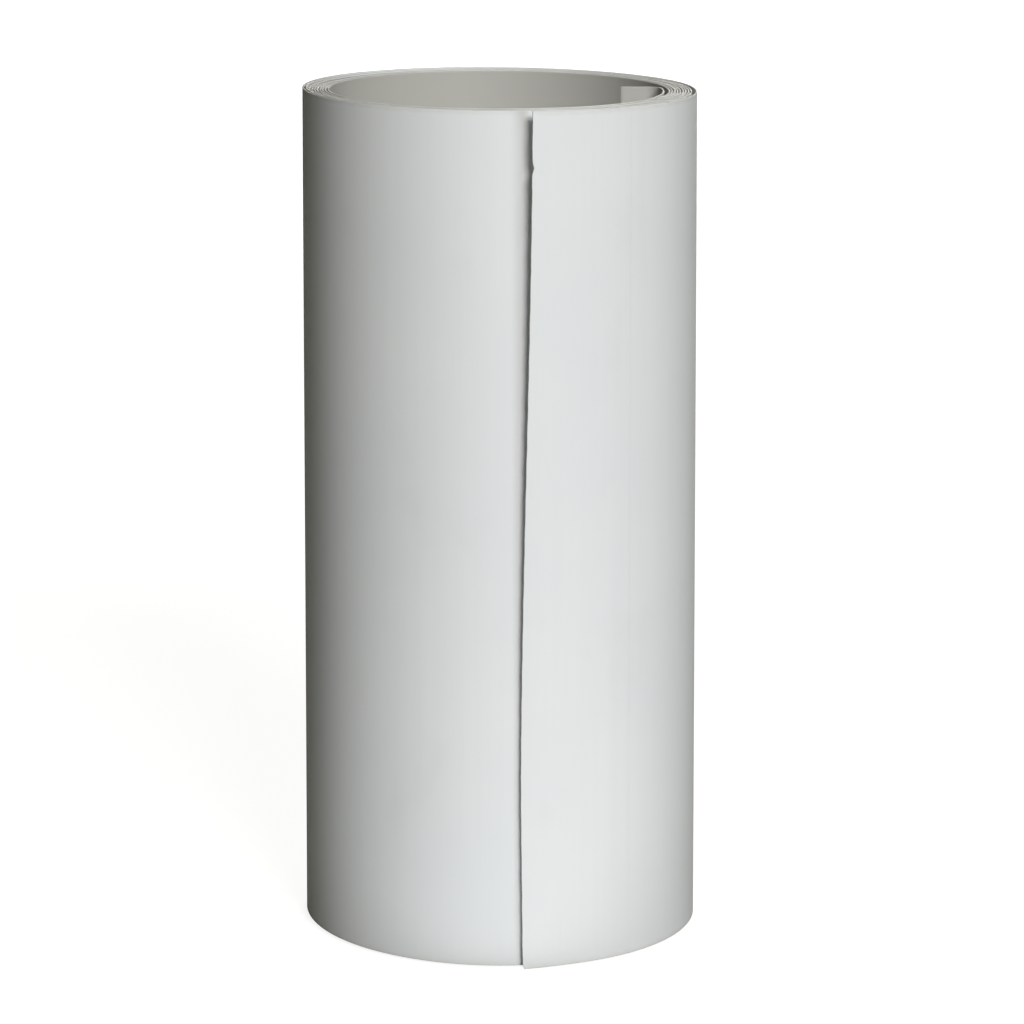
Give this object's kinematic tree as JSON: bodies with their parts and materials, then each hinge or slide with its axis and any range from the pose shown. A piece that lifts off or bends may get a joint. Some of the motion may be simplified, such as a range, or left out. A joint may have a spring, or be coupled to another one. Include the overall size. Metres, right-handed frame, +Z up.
{
  "type": "rolled tree guard tube",
  "caption": "Tall open tube wound from one long white plastic sheet, with a free edge that peels open down the front and a loose bent end inside the bore.",
  "frame": {"origin": "middle of the footprint, on the surface that the roll stands on", "axes": "+Z up along the roll's axis; -Y is the front, where the free outer edge is; +X is the right side seen from the front, which the free outer half turn covers"},
  "size_m": [0.2323, 0.2328, 0.5],
  "materials": {
    "sheet": "satin white polyethylene, slightly translucent at its edges"
  },
  "bodies": {
    "roll": {"turn_01": "sheet", "turn_02": "sheet", "turn_03": "sheet", "turn_04": "sheet", "turn_05": "sheet", "turn_06": "sheet", "turn_07": "sheet", "turn_08": "sheet", "turn_09": "sheet", "turn_10": "sheet"},
    "flap_1": {"flap_1": "sheet"},
    "flap_2": {"flap_2": "sheet"},
    "flap_3": {"flap_3": "sheet"},
    "flap_4": {"flap_4": "sheet"},
    "flap_5": {"flap_5": "sheet"},
    "flap_6": {"flap_6": "sheet"},
    "flap_7": {"flap_7": "sheet"},
    "flap_8": {"flap_8": "sheet"},
    "inner_end": {"inner_end": "sheet"},
    "inner_tab": {"inner_tab": "sheet"}
  },
  "joints": [
    {"name": "flap_bend_1", "type": "hinge", "parent": "roll", "child": "flap_1", "pos_m": [-0.0008, 0.11643, 0.25], "axis": [0, 0, 1], "range_deg": [0, 21.5], "stiffness_Nm_per_rad": 0.2},
    {"name": "flap_bend_2", "type": "hinge", "parent": "flap_1", "child": "flap_2", "pos_m": [0.04208, 0.10829, 0.25], "axis": [0, 0, 1], "range_deg": [0, 21.5], "stiffness_Nm_per_rad": 0.2},
    {"name": "flap_bend_3", "type": "hinge", "parent": "flap_2", "child": "flap_3", "pos_m": [0.07899, 0.085, 0.25], "axis": [0, 0, 1], "range_deg": [0, 21.5], "stiffness_Nm_per_rad": 0.2},
    {"name": "flap_bend_4", "type": "hinge", "parent": "flap_3", "child": "flap_4", "pos_m": [0.1048, 0.0498, 0.25], "axis": [0, 0, 1], "range_deg": [0, 21.5], "stiffness_Nm_per_rad": 0.2},
    {"name": "flap_bend_5", "type": "hinge", "parent": "flap_4", "child": "flap_5", "pos_m": [0.11592, 0.00759, 0.25], "axis": [0, 0, 1], "range_deg": [0, 21.5], "stiffness_Nm_per_rad": 0.2},
    {"name": "flap_bend_6", "type": "hinge", "parent": "flap_5", "child": "flap_6", "pos_m": [0.11078, -0.03575, 0.25], "axis": [0, 0, 1], "range_deg": [0, 21.5], "stiffness_Nm_per_rad": 0.2},
    {"name": "flap_bend_7", "type": "hinge", "parent": "flap_6", "child": "flap_7", "pos_m": [0.09013, -0.0742, 0.25], "axis": [0, 0, 1], "range_deg": [0, 21.5], "stiffness_Nm_per_rad": 0.2},
    {"name": "flap_bend_8", "type": "hinge", "parent": "flap_7", "child": "flap_8", "pos_m": [0.05681, -0.1024, 0.25], "axis": [0, 0, 1], "range_deg": [0, 21.5], "stiffness_Nm_per_rad": 0.2},
    {"name": "inner_end_flex", "type": "hinge", "parent": "roll", "child": "inner_end", "pos_m": [-0.0008, -0.09897, 0.25], "axis": [0, 0, 1], "range_deg": [-0.5, 14], "stiffness_Nm_per_rad": 0.2},
    {"name": "inner_tab_bend", "type": "hinge", "parent": "inner_end", "child": "inner_tab", "pos_m": [0.09311, 0.01706, 0.25], "axis": [0, 0, 1], "range_deg": [-60, 45], "stiffness_Nm_per_rad": 0.25}
  ]
}
